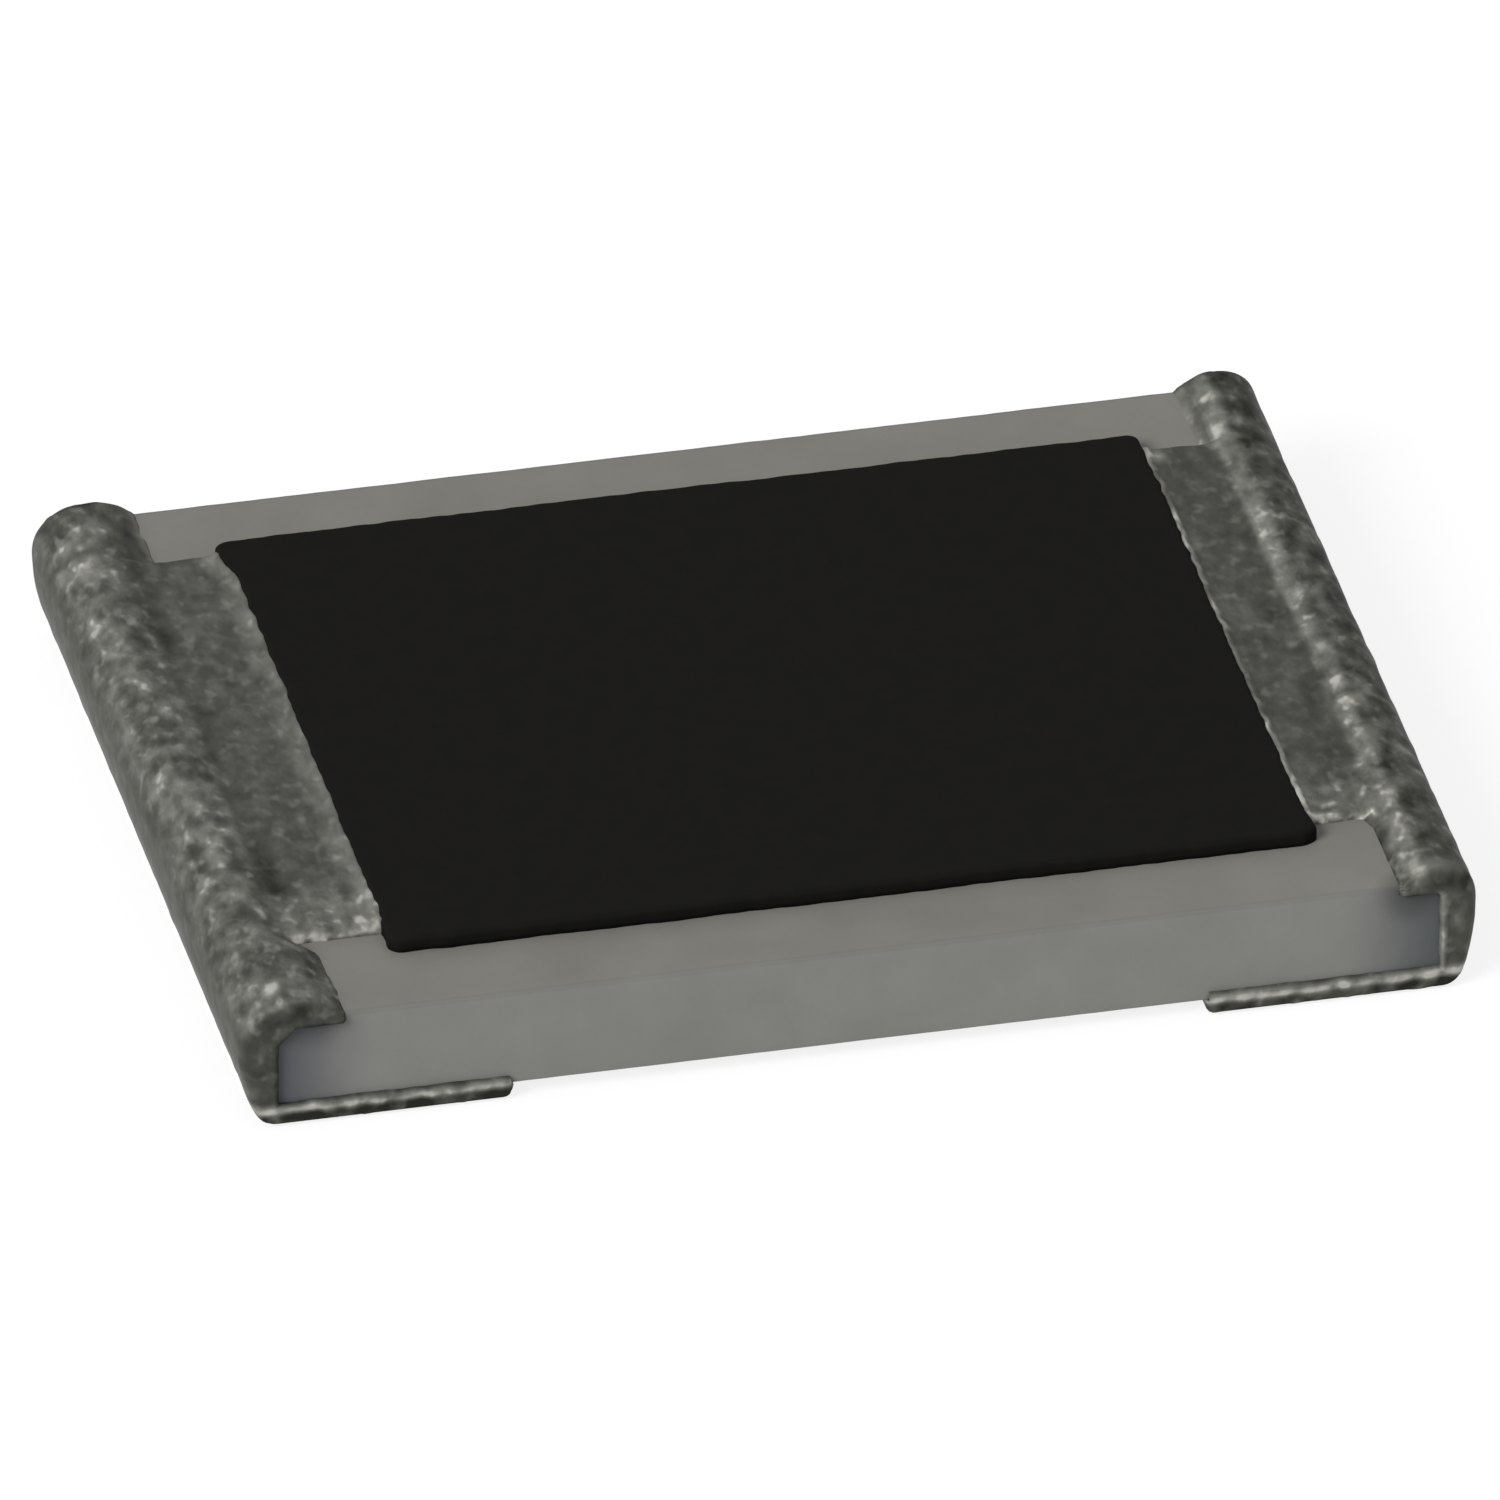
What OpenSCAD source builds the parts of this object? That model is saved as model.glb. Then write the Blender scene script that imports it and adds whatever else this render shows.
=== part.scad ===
// Thick-film chip resistor, 3.2 by 2.5 mm size.
// X runs along the chip, Y across it, and Z = 0 is the underside of its two solder lands.

/* [Ceramic plate] */
// Length of the ceramic plate
body_l = 3.05; // [2.7:0.01:3.6]
// Width of the ceramic plate
body_w = 2.482; // [2.2:0.002:2.8]
// Thickness of the ceramic plate
body_t = 0.268; // [0.24:0.002:0.5]
// Rounding of the two long upper edges
body_edge_r = 0.008; // [0.005:0.001:0.02]

/* [Printed electrodes] */
// Free length of plate between the two upper electrodes
electrode_gap = 1.76; // [1.4:0.02:1.9]
// Width of the upper electrodes
top_electrode_w = 1.8; // [1.7:0.01:2]
// Thickness of the upper electrodes
top_electrode_t = 0.01; // [0.006:0.001:0.014]
// Print offset of the upper electrodes across the plate
top_electrode_shift = 0.02; // [-0.04:0.005:0.04]
// Length of a lower electrode from the end of the plate
bottom_electrode_l = 0.615; // [0.4:0.005:0.8]
// Thickness of the lower electrodes
bottom_electrode_t = 0.024; // [0.02:0.001:0.04]
// Rounding of the lower electrodes' under edges
bottom_electrode_r = 0.012; // [0.004:0.001:0.018]

/* [Resistive film] */
// Width of the film
film_w = 1.56; // [1.3:0.01:1.7]
// Thickness of the film
film_t = 0.01; // [0.006:0.001:0.014]
// Lap of the film over each upper electrode
film_lap = 0.15; // [0.08:0.01:0.2]
// Width of the laser trim cut
kerf_w = 0.04; // [0.02:0.005:0.06]
// Place of the trim cut's entry along the film, from its middle
kerf_entry = -0.3; // [-0.5:0.02:0]
// Depth of the trim cut's entry leg across the film
kerf_depth = 0.62; // [0.3:0.02:1]
// Length of the trim cut's leg along the film
kerf_run = 0.54; // [0.2:0.02:0.8]

/* [Coats] */
// Thickness of the inner glass
glass_t = 0.01; // [0.006:0.001:0.014]
// Margin of the inner glass round the film
glass_margin = 0.04; // [0.02:0.005:0.06]
// Thickness of the black overcoat at its thinnest, over the lapped film
coat_t = 0.01; // [0.006:0.001:0.02]
// Lap of the overcoat past the glass at each end
coat_end_lap = 0.125; // [0.06:0.001:0.14]
// Lap of the overcoat past the glass on each long side
coat_side_lap = 0.176; // [0.1:0.001:0.22]
// Rounding of the overcoat's upper edge
coat_edge_r = 0.012; // [0.004:0.001:0.014]
// Rounding of the overcoat's corners
coat_corner_r = 0.035; // [0.02:0.005:0.06]
// Print offset of the overcoat along the plate
coat_shift_x = 0.04; // [-0.05:0.005:0.05]
// Print offset of the overcoat across the plate
coat_shift_y = 0.003; // [-0.04:0.001:0.04]

/* [End terminations] */
// Greatest thickness of the end paste beyond the plate
end_build = 0.057; // [0.04:0.001:0.09]
// Thickness of the end paste beyond the plate at its foot
foot_build = 0.025; // [0.015:0.001:0.033]
// Rounding of the end paste's foot
foot_r = 0.045; // [0.03:0.001:0.05]
// Rise of the paste bead above the plate
bead_rise = 0.026; // [0.02:0.001:0.04]
// Reach of the left paste bead over the plate, from its end
bead_reach_left = 0.12; // [0.1:0.005:0.2]
// Reach of the right paste bead over the plate, from its end
bead_reach_right = 0.115; // [0.1:0.005:0.2]
// Rounding of the paste bead's outer shoulder
shoulder_r = 0.1; // [0.08:0.005:0.12]
// Rounding of the end paste's upright corners
end_corner_r = 0.04; // [0.02:0.005:0.05]
// Thickness of the nickel barrier
nickel_t = 0.006; // [0.003:0.001:0.01]
// Thickness of the tin plating
tin_t = 0.012; // [0.004:0.001:0.014]

/* [Hidden] */
$fn = 64;
plating_t = nickel_t + tin_t;

// Heights of the lands, the plate and what lies on it
land_z = plating_t;
body_z = land_z + bottom_electrode_t;
top_z = body_z + body_t;
coat_h = top_electrode_t + film_t + glass_t + coat_t;

// Extents of the printed layers
body_end = body_l / 2;
top_electrode_l = (body_l - electrode_gap) / 2;
film_l = electrode_gap + 2 * film_lap;
coat_l = film_l + 2 * (glass_margin + coat_end_lap);
coat_w = film_w + 2 * (glass_margin + coat_side_lap);

// Outermost line and crest of the end paste, and the middles of its shoulder's and its foot's arcs
end_x = body_end + end_build;
crest_z = top_z + bead_rise;
shoulder_c = [end_x - shoulder_r, crest_z - shoulder_r];
foot_c = [body_end + foot_build - foot_r, land_z + foot_r];

// Inner arc of the bead: level at the crest, and meeting the plate where the bead's reach ends
function bead_reach(side) = side == "left" ? bead_reach_left : bead_reach_right;
function bead_r(span) = (pow(span, 2) + pow(bead_rise, 2)) / (2 * bead_rise);

// Flank arc that leaves the shoulder upright and runs smoothly into the foot's arc
function flank_r(inset, drop) = (pow(inset, 2) + pow(drop, 2) - pow(foot_r, 2)) / (2 * (inset - foot_r));

// Length well past both ends of the chip, for cuts
past = 2 * body_l;

ceramic_colour = [0.5, 0.5, 0.47];
silver_colour = [0.72, 0.71, 0.68];
film_colour = [0.2, 0.2, 0.22];
glass_colour = [0.35, 0.42, 0.4];
coat_colour = [0.11, 0.11, 0.1];
paste_colour = [0.55, 0.54, 0.52];
nickel_colour = [0.6, 0.59, 0.55];
tin_colour = [0.42, 0.42, 0.4];

// Flat outline that stands on the X axis, with its two upper corners rounded
module arch(w, h, r) {
    translate([-w / 2, 0])
        square([w, h - r]);
    translate([r - w / 2, 0])
        square([w - 2 * r, h]);
    for (side = [-1, 1])
        translate([side * (w / 2 - r), h - r])
            circle(r);
}

// Flat outline round the origin, with all four corners rounded
module rounded_oblong(l, w, r) {
    arch(l, w / 2, r);
    mirror([0, 1])
        arch(l, w / 2, r);
}

// Solid of an outline in X and Z, run across the chip over a width about its middle
module run_across(w) {
    translate([0, w / 2, 0])
        rotate([90, 0, 0])
            linear_extrude(w)
                children();
}

// Solid of an outline in Y and Z, run along the chip over a length about its middle
module run_along(l) {
    translate([-l / 2, 0, 0])
        rotate([90, 0, 90])
            linear_extrude(l)
                children();
}

// Block that is centred in X and Y and stands on Z = 0
module plate(l, w, t) {
    translate([-l / 2, -w / 2, 0])
        cube([l, w, t]);
}

// Right-hand form as it is, or mirrored for the left end
module at_end(side) {
    if (side == "left")
        mirror([1, 0, 0])
            children();
    else
        children();
}

module plate_form() {
    translate([0, 0, body_z])
        run_along(body_l)
            arch(body_w, body_t, body_edge_r);
}

// Upper electrode of the right end, grown on its free sides by a plated thickness
module top_electrode_form(grown = 0) {
    l = top_electrode_l + grown;
    w = top_electrode_w + 2 * grown;
    translate([body_end - l / 2, top_electrode_shift, top_z])
        plate(l, w, top_electrode_t + grown);
}

// Lower electrode of the right end, grown on its free sides by a plated thickness
module bottom_electrode_form(grown = 0) {
    l = bottom_electrode_l + grown;
    t = bottom_electrode_t + 2 * grown;
    translate([body_end - l / 2, 0, body_z + grown])
        run_across(body_w + 2 * grown)
            mirror([0, 1])
                arch(l, t, bottom_electrode_r + grown);
}

// Film between the electrodes, stepped up over their inner ends, with room for a coat round it
module film_form(margin = 0, cover = 0) {
    t = film_t + cover;
    l = film_l + 2 * margin;
    w = film_w + 2 * margin;
    step_l = l / 2 - electrode_gap / 2 + t;
    translate([0, 0, top_z]) {
        plate(l, w, t);
        for (side = [-1, 1])
            translate([side * (l - step_l) / 2, 0, 0])
                plate(step_l, w, top_electrode_t + t);
    }
}

// L-shaped laser cut: in from the front edge of the film, then along it
module trim_cut() {
    front_y = -film_w / 2 - glass_margin - kerf_w;
    turn_y = kerf_depth - film_w / 2;
    translate([kerf_entry - kerf_w / 2, front_y, top_z])
        cube([kerf_w, turn_y - front_y, coat_h]);
    translate([kerf_entry - kerf_w / 2, turn_y - kerf_w, top_z])
        cube([kerf_run, kerf_w, coat_h]);
}

// Outer form of the black coat, before what lies under it is taken away
module coat_form() {
    translate([coat_shift_x, coat_shift_y, top_z])
        intersection() {
            linear_extrude(coat_h)
                rounded_oblong(coat_l, coat_w, coat_corner_r);
            run_across(coat_w)
                arch(coat_l, coat_h, coat_edge_r);
            run_along(coat_l)
                arch(coat_w, coat_h, coat_edge_r);
        }
}

// Outline in X and Z of the end's outer face, with a plated thickness grown on it
module end_outline(reach, grown) {
    start_x = body_end - reach;
    arc_r = bead_r(shoulder_c[0] - start_x);
    side_r = flank_r(end_x - foot_c[0], shoulder_c[1] - foot_c[1]);
    side_c = [end_x - side_r, shoulder_c[1]];
    foot_way = (foot_c - side_c) / norm(foot_c - side_c);
    foot_tip = foot_c + (foot_r + grown) * foot_way;
    floor_z = land_z - grown;
    // Bead
    intersection() {
        translate([shoulder_c[0], crest_z - arc_r])
            circle(arc_r + grown);
        translate(shoulder_c)
            mirror([1, 0])
                square(past);
    }
    // Shoulder
    intersection() {
        translate(shoulder_c)
            circle(shoulder_r + grown);
        translate(shoulder_c)
            square(past);
    }
    // Flank
    intersection() {
        translate(side_c)
            circle(side_r + grown);
        translate([start_x, shoulder_c[1]])
            mirror([0, 1])
                square(past);
        translate([start_x, foot_tip[1]])
            square(past);
    }
    // Foot
    intersection() {
        translate(foot_c)
            circle(foot_r + grown);
        translate([foot_c[0], foot_tip[1]])
            mirror([0, 1])
                square(past);
    }
    // Sole
    intersection() {
        translate([start_x, floor_z])
            square(past);
        translate([foot_c[0], foot_tip[1]])
            rotate(180)
                square(past);
    }
}

// End paste as it lies on the right end, grown on its free sides by a plated thickness
module end_wrap_form(reach, grown = 0) {
    w = body_w + 2 * grown;
    intersection() {
        run_across(w)
            difference() {
                end_outline(reach, grown);
                translate([0, body_z + grown])
                    square([body_end - grown, body_t - 2 * grown]);
            }
        run_along(past)
            arch(w, crest_z + grown, bead_rise + grown);
        rotate(-90)
            linear_extrude(past)
                arch(w, end_x + grown, end_corner_r + grown);
    }
}

// All the metal of one end that plating grows on, grown by a plated thickness
module metal_form(side, grown = 0) {
    at_end(side) {
        top_electrode_form(grown);
        bottom_electrode_form(grown);
        end_wrap_form(bead_reach(side), grown);
    }
}

module end_paste(side) {
    difference() {
        at_end(side)
            end_wrap_form(bead_reach(side));
        at_end(side)
            top_electrode_form();
        at_end(side)
            bottom_electrode_form();
        plate_form();
        coat_form();
    }
}

// One plated skin of an end, from one grown thickness to the next
module plated_skin(side, from, to) {
    difference() {
        metal_form(side, to);
        metal_form(side, from);
        plate_form();
        coat_form();
    }
}

module ceramic_substrate() {
    color(ceramic_colour)
        plate_form();
}

module top_electrode_left() {
    color(silver_colour)
        at_end("left")
            top_electrode_form();
}

module top_electrode_right() {
    color(silver_colour)
        at_end("right")
            top_electrode_form();
}

module bottom_electrode_left() {
    color(silver_colour)
        at_end("left")
            bottom_electrode_form();
}

module bottom_electrode_right() {
    color(silver_colour)
        at_end("right")
            bottom_electrode_form();
}

module resistive_element() {
    color(film_colour)
        difference() {
            film_form();
            at_end("left")
                top_electrode_form();
            at_end("right")
                top_electrode_form();
            trim_cut();
        }
}

module inner_glass_coat() {
    color(glass_colour)
        difference() {
            film_form(glass_margin, glass_t);
            film_form();
            at_end("left")
                top_electrode_form();
            at_end("right")
                top_electrode_form();
            trim_cut();
        }
}

module protective_overcoat() {
    color(coat_colour)
        difference() {
            coat_form();
            difference() {
                film_form(glass_margin, glass_t);
                trim_cut();
            }
            at_end("left")
                top_electrode_form();
            at_end("right")
                top_electrode_form();
        }
}

module end_electrode_left() {
    color(paste_colour)
        end_paste("left");
}

module end_electrode_right() {
    color(paste_colour)
        end_paste("right");
}

module nickel_barrier_left() {
    color(nickel_colour)
        plated_skin("left", 0, nickel_t);
}

module nickel_barrier_right() {
    color(nickel_colour)
        plated_skin("right", 0, nickel_t);
}

module tin_plating_left() {
    color(tin_colour)
        plated_skin("left", nickel_t, plating_t);
}

module tin_plating_right() {
    color(tin_colour)
        plated_skin("right", nickel_t, plating_t);
}

ceramic_substrate();
top_electrode_left();
top_electrode_right();
bottom_electrode_left();
bottom_electrode_right();
resistive_element();
inner_glass_coat();
protective_overcoat();
end_electrode_left();
end_electrode_right();
nickel_barrier_left();
nickel_barrier_right();
tin_plating_left();
tin_plating_right();
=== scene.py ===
import math
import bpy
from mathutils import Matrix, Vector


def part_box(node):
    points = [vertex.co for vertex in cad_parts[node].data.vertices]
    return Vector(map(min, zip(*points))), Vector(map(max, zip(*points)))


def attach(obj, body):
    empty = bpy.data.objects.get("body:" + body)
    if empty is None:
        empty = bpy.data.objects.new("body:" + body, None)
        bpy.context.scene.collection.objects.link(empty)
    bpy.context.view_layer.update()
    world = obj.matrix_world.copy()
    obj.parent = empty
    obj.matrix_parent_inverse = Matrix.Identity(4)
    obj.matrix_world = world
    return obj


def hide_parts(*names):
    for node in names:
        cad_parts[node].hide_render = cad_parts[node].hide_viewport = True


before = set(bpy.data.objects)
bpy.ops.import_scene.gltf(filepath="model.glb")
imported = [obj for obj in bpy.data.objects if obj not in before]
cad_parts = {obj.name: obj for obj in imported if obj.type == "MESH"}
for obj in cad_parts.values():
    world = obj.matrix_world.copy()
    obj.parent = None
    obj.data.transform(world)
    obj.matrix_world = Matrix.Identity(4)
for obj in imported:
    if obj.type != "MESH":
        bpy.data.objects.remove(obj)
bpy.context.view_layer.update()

from types import SimpleNamespace

import bpy
import numpy as np
from mathutils import Matrix, Vector, noise
from mathutils.bvhtree import BVHTree

MM = 0.001
WORDS = ("left", "right")
TINY = 1e-12
SEED_STEPS = (17.3, 9.1, 5.7)

# Lengths are in millimetres. A SPAN is the pair of places between which something fades in, WAVES are
# noises given by their height, size and seed, and a BUMP is given by its place and its width.

# Section of the tin: its roundings, the upright end of its land beside the plate's underside, how far it
# runs under the coat, its least cover over the nickel and how far it may be moved to get that cover
FOOT_BUILD = 0.025
FOOT_R = 0.045
SHOULDER_R = 0.1
TIP_R = 0.03
TIP_UPRIGHT = (0.001, -0.006)
UNDER_COAT = 0.018
LEAST_TIN = 0.005
COVER_LIMIT = 0.006
COVER_SEARCH = 0.03
NO_COVER = -1.0

# Mesh of the tin: steps along the section and across it, and the rows beside a pad's edge, counted inwards
TIN_STEP = 0.0095
SOLE_STEP = 1.5 * TIN_STEP
TOP_STEP = 0.9 * TIN_STEP
ROW_GAP = 0.4 * TIN_STEP
ROW_END = 1.17
ROW_HOLD = 1.1
EDGE_ROWS = np.array([-0.014, -0.009, -0.005, -0.002, 0.001, 0.004, 0.008, 0.013, 0.019])
LEAST_ARC_POINTS = 3

# Bead and pad: the sway of the bead's root, the pad's swaying and rounded edges, its ridge beside the coat,
# its rim, the hollow between bead and pad, and the blend of the two
BEAD_WAVES = ((0.016, 0.14, 3), (0.008, 0.05, 5))
BEAD_SWAY_LIMIT = 0.018
BEAD_CREST_SPAN = (0, 0.05)
BESIDE_PAD_SPAN = (0.85, 0.97)
PAD_WAVES = ((0.004, 0.09, 7),)
PAD_ROUND = 0.016
PAD_SKIRT = 0.006
PAD_RIDGE_BUMP = (0.003, 0.010)
PAD_RIDGE_HEIGHT = 0.012
PAD_RIM_BUMP = (0.014, 0.009)
PAD_RIM_HEIGHT = 0.003
HOLLOW_BUMP = (-0.035, 0.034)
HOLLOW_DEPTH = 0.008
HOLLOW_SHARE = 0.4
HOLLOW_WAVES = ((1.3, 0.16, 9),)
BLEND = 0.014
BLEND_DROP = 0.0012

# Lips on the side faces: the face below its raised rim, the hem that closes on the plate, the rounding of
# the long edges, and how the lip thins out towards the bead's root
LIP_SINK = 0.005
LIP_RIM = 0.014
LIP_POINTS = 8
LIP_STEP = 0.002
LIP_END = 0.012
LIP_TURN = 0.41
HEM_INSETS = (0, 0.004, 0.007, 0.008)
HEM_DEPTHS = (0.003, 0.010, 0.021)
EVEN_REACH = 6
EVEN_TAIL = 2
EVEN_RISE = 1e-5
BEND_POINTS = 9
BEND_HEIGHTS = (0.03, 0.2)
BEND_RADII = (0.026, 0.05)
BEND_SHARE = 0.45
REAR_SHARPER = 0.4
REAR_SHARPER_SPAN = (0.2, 0.3)
LOW_BEND = 0.008
LEAST_BEND = 0.004
THIN_LIP = 0.003
THIN_LIP_SPAN = (-0.003, 0.005)
THIN_LIP_Y = 1.2

# Regions of the tin, by heights over the board, places along or across the chip, or distances from an edge.
# The hem's shares are for the outermost points of each row.
TOP_SPAN = (0.27, 0.32)
PAD_LAP = 0.012
PAD_FRONT_SPAN = (0.62, 0.80)
PAD_EDGE_BUMP = (0, 0.005)
PAD_EDGE_SPAN = (0, 0.04)
BY_COAT_SPAN = (-0.005, 0.01)
OUTSIDE_SPAN = (-0.03, 0.01)
END_FACE_IN = 0.02
END_FACE_OUT = 0.01
END_FACE_TOP_SPAN = (0.24, 0.33)
SIDE_SPAN = (-0.03, -0.008)
LAND_SPAN = (0.05, 0.08)
ROLL_SPAN = (-0.034, -0.022)
CORNER_SPANS = ((1.46, 1.51), (1.18, 1.23), (0.2, 0.27))
UPRIGHT_SPAN = (-0.05, -0.02)
HEM_SHARES = np.array([1, 1, 1, 1, 0.5])
ROOT_SPAN = (0.002, 0.022)
ROOT_EDGE = -0.004
SHOWN_SPAN = (-0.001, 0.010)

# Growth of the tin: lumps, strong on the bead and the land, calm on the pad and faint on the end face, the
# rope of grains along the land, and the nodules
GRAIN_STRETCH = np.array([1, 0.65, 1])
COARSE_WAVES = ((0.6, 0.075, 11),)
MIDDLE_WAVES = ((0.7, 0.038, 21),)
ROPE_WAVES = ((1, 0.034, 51),)
PAD_COARSE_LOSS = 0.5
PAD_CALM = 0.65
END_CALM = 0.8
SIDE_CALM = 0.6
LAND_ROUGH = 0.8
LUMP_BASE = -0.0020
LUMP_HEIGHT = 0.0046
LUMP_RANGE = (-0.0048, 0.003)
ROPE_HEIGHT = 0.003
NODULE_SIZE = (0.028, 0.022, 0.022)
NODULE_HEIGHT = 0.006

# Tones that both ends share, added to the plain one, and where they lie; many are painted light and shade
TONE = SimpleNamespace(
    plain=0.46,
    # painted highlights on the lumps' peaks and painted shade between them
    relief=0.30,
    pad_front=0.14,
    # painted highlight along the pad's rear edge
    rear_rim_painted_highlight=0.10,
    low_end=0.16,
    # painted shade at the bead's front root, towards its rear end and beside the side faces
    front_root_painted_shade=-0.10,
    bead_rear_painted_shade=-0.15,
    bead_side_painted_shade=-0.12,
    # painted highlight on the nodules
    nodule=0.4,
    # painted light above and painted shade below on the land's roll, and painted highlights on its rope
    roll_painted_light=0.37,
    roll_painted_shade=-0.28,
    rope=0.30,
    # painted shade along the level hem
    level_hem_painted_shade=-0.14,
)
LOW_END_SPAN = (0.08, 0.2)
BEAD_REAR_SHADE_SPAN = (1.12, 1.22)
ROLL_PAINTED_LIGHT_SPAN = (0.034, 0.046)
ROLL_PAINTED_SHADE_SPAN = (0.026, 0.040)
BAND_FADE = np.array([0.5, 1.5])
# Painted highlight line beside the coat: its place and width, its share and its breaks
HIGHLIGHT_LINE_BUMP = (0.003, 0.007)
HIGHLIGHT_LINE_SHARE = 0.8
HIGHLIGHT_LINE_WAVES = ((1, 0.07, 61),)
PAD_FINER = 0.4
END_FINER = 0.65
SIDE_FINER = 0.4

# What differs between the two ends, with pairs for the front and the rear:
# side and power: the way the end lies along X, and how square its shoulder is
# narrow and soft: how much the bead's root narrows beside the pad, and how much softer it runs out
# cut: size of the cut corner of the side lips
# pad_shift and ears: how far the pad's edges are moved, and how far the coat's corners reach past its edge
# inner_tone and outer_tone: painted light and shade on the bead's slopes
# root_tone, hollow_tone, face_tone and pad_tone: the bead's rear root, painted shade in the hollow, the end
# face and the pad
# hem_tone, lip_tone and rim_tone: painted light and shade on the upright hem, the side lip, and painted
# highlight on the pad's front rim
# band and line: tone and width of the pad's bright band, and tone of the painted highlight line beside the
# coat
# nodules: their places, with X outwards
ENDS = {
    "left": dict(
        side=-1, power=1.85, narrow=(-0.03, -0.03), soft=(0.008, 0.010), cut=0.05,
        pad_shift=(0.006, 0.018), ears=(0.0, 0.024), inner_tone=-0.01, outer_tone=0.05,
        root_tone=0.20, hollow_tone=-0.26, face_tone=-0.08, pad_tone=-0.07,
        hem_tone=-0.14, lip_tone=-0.14, rim_tone=0.28, band=(0.14, 0.05), line=0.04,
        nodules=[(1.50, -1.15, 0.35), (1.425, -1.205, 0.345)],
    ),
    "right": dict(
        side=1, power=2.5, narrow=(0.02, 0.018), soft=(0.0, 0.012), cut=0.012,
        pad_shift=(0.0, 0.0), ears=(0.010, 0.0), inner_tone=0.18, outer_tone=-0.12,
        root_tone=0.30, hollow_tone=-0.10, face_tone=-0.04, pad_tone=-0.105,
        hem_tone=0.26, lip_tone=-0.07, rim_tone=0.48, band=(0.04, 0.04), line=0.36,
        nodules=[(1.43, -1.18, 0.35), (1.495, -1.225, 0.335), (1.26, 0.885, 0.345)],
    ),
}

# Black coat: its uneven outline and rounded edge, and the rings of its mesh
COAT_EDGE_WAVES = ((0.004, 0.16, 5), (0.006, 0.042, 6))
COAT_SIDE_WAVES = ((0.004, 0.16, 5), (0.0035, 0.04, 6))
COAT_TOP_WAVES = ((0.0006, 0.5, 7),)
COAT_TOP_DROP = 0.0006
COAT_EAR_SPAN = (0.78, 0.96)
COAT_CORNER_R = 0.035
COAT_CORNER_POINTS = 10
COAT_STEP = 0.012
COAT_EDGE_R = 0.014
COAT_EDGE_POINTS = 7
COAT_WALL = 0.014
COAT_SINK = 0.002
COAT_INSIDE = 0.03
COAT_HEART = 0.97
COAT_TOP_RINGS = 14
COAT_FLOOR_RINGS = 10

# Ceramic plate: the edges of its section as signs across and up with their rounding, its mesh and its wear
PLATE_EDGES = ((1, -1, 0.006), (1, 1, 0.005), (-1, 1, 0.010), (-1, -1, 0.006))
PLATE_EDGE_POINTS = 7
PLATE_STEP = 0.02
PLATE_ROWS = 151
PLATE_WEAR = 0.0006
PLATE_WEAR_WAVES = ((1, 0.2, 41),)
EDGE_WEAR = 0.0008
EDGE_WEAR_WAVES = ((1, 0.05, 42),)
EDGE_WEAR_WIDTH = 0.03
TOP_WEAR_SHARE = 0.6

# Colours as screen levels, alone or at places along a ramp, and where the plate's lie
NOISE_MIDDLE = 0.5
MOTTLE_SHARE = 0.75
# Bright specks in the tin's grain, partly painted glints
SPECK_AND_GLINT_SHARE = 0.26
SPECK_AND_GLINT_RAMP = ((0.56, (0, 0, 0)), (0.74, (255, 255, 255)))
TIN_TINT = (0.45, 0.45, 0.45, 1)
TIN_RAMP = (
    (0.1, (40, 40, 37)),
    (0.35, (74, 74, 69)),
    (0.5, (95, 95, 90)),
    (0.7, (122, 122, 116)),
    (0.95, (178, 177, 170)),
)
COAT_RAMP = ((0.3, (22, 22, 21)), (0.7, (25, 24, 23)))
PLATE_TOP_RAMP = ((0.3, (117, 116, 110)), (0.7, (125, 124, 118)))
# Painted light: the side faces are lighter than the top
PLATE_SIDE_PAINTED_LIGHT_RAMP = ((0.3, (121, 121, 118)), (0.7, (128, 128, 125)))
PLATE_SIDE_SPAN = (-0.012, -0.002)
# Painted shade on the side faces towards the ends
PLATE_END_SHADE_COLOURS = ((-1, (86, 87, 91)), (1, (82, 85, 87)))
PLATE_END_SHADE_SPAN = (-0.29, -0.02)
# Painted shade along the plate's upper edges
PLATE_RIM_SHADE_COLOUR = (92, 91, 86)
PLATE_RIM_SHADE_ACROSS_SPAN = (-0.016, -0.006)
PLATE_RIM_SHADE_UP_SPAN = (-0.016, -0.005)
PLATE_RIM_SHADE_SHARE = 0.3
BEAD_SHADE_COLOUR = (58, 59, 58)
BEAD_SHADE_SPOTS = ((-1.41, -1.23, 0.3), (1.43, -1.24, 0.285))
BEAD_SHADE_SPAN = (0.11, 0.02)
BEAD_SHADE_SHARE = 0.65
LAYER_PLACES = (0.35, 0.65)
SILVER_LEVELS = ((168, 166, 160), (186, 184, 178))
NICKEL_LEVELS = ((120, 118, 110), (136, 133, 125))
PASTE_LEVELS = ((130, 128, 124), (146, 143, 138))
FILM_LEVELS = ((44, 44, 48), (58, 58, 62))
GLASS_LEVELS = ((84, 98, 94), (96, 112, 108))

# Sockets of a mix node that hold colours
COLOUR_A = 6
COLOUR_B = 7
COLOUR_OUT = 2

# Studio: strengths of light, half sizes of the floor and its opening, and the camera's place and view
WHITE = (1, 1, 1, 1)
FILL_STRENGTH = 0.48
FLOOR_COLOUR = (0.85, 0.85, 0.85, 1)
SHADOW_COLOUR = (0.2, 0.2, 0.2, 1)
FLOOR_GLOW = 0.83
FLOOR_SIZE = 1500
FLOOR_Z = -0.0004
OPENING = (1.56, 1.12)
CAMERA = SimpleNamespace(
    lens=1700, sensor=36, near=10, far=10000, azimuth=-12.75, elevation=31.48,
    aim=(-0.009, 0, 0.186), shift_right=0.006, shift_up=-0.018, distance=179.5,
)


# Sizes read from the frame
def box(node):
    low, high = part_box(node)
    return np.array(low) / MM, np.array(high) / MM


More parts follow.
